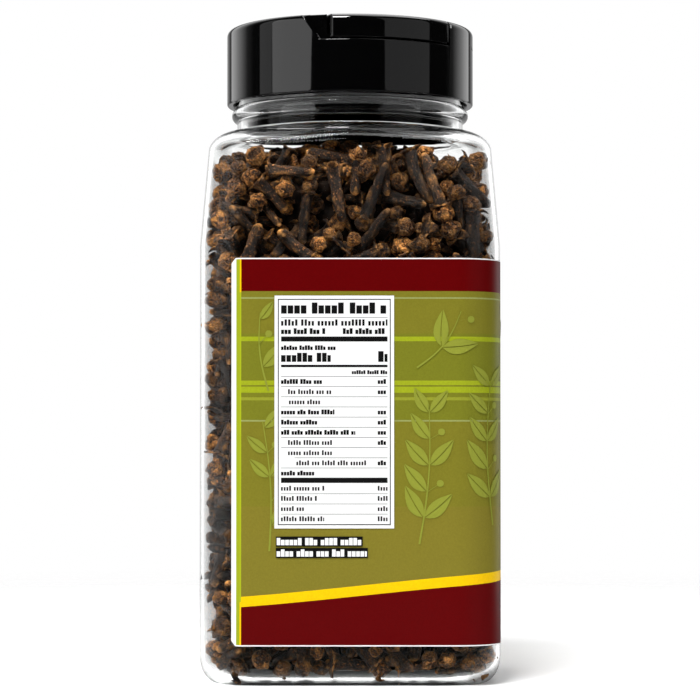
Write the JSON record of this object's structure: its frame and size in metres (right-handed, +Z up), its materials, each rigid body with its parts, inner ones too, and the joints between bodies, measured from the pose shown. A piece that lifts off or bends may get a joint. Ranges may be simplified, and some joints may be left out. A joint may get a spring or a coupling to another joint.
{
  "type": "clear square jar of whole cloves with flip-top cap",
  "caption": "Clear square plastic jar filled with whole cloves, with a round black screw cap, a hinged pour flap and a wrap label.",
  "frame": {"origin": "middle of the base, on the surface the jar stands on", "axes": "+Z up along the jar, -Y towards the front of the label, +X to the right as seen from the front"},
  "size_m": [0.067, 0.067, 0.1464],
  "materials": {
    "clear_plastic": "clear moulded plastic, high gloss",
    "black_plastic": "moulded, high gloss",
    "printed_label": "printed film, satin",
    "clove_brown": "dry, dull, wrinkled"
  },
  "bodies": {
    "jar_body": {"jar": "clear_plastic", "cap": "black_plastic", "label": "printed_label", "cloves": "clove_brown"},
    "flap": {"flap": "black_plastic"}
  },
  "joints": [
    {"name": "flap_hinge", "type": "hinge", "parent": "jar_body", "child": "flap", "pos_m": [0.00111, -0.00279, 0.1462], "axis": [-0.9291, -0.3697, 0], "range_deg": [0, 115]}
  ]
}
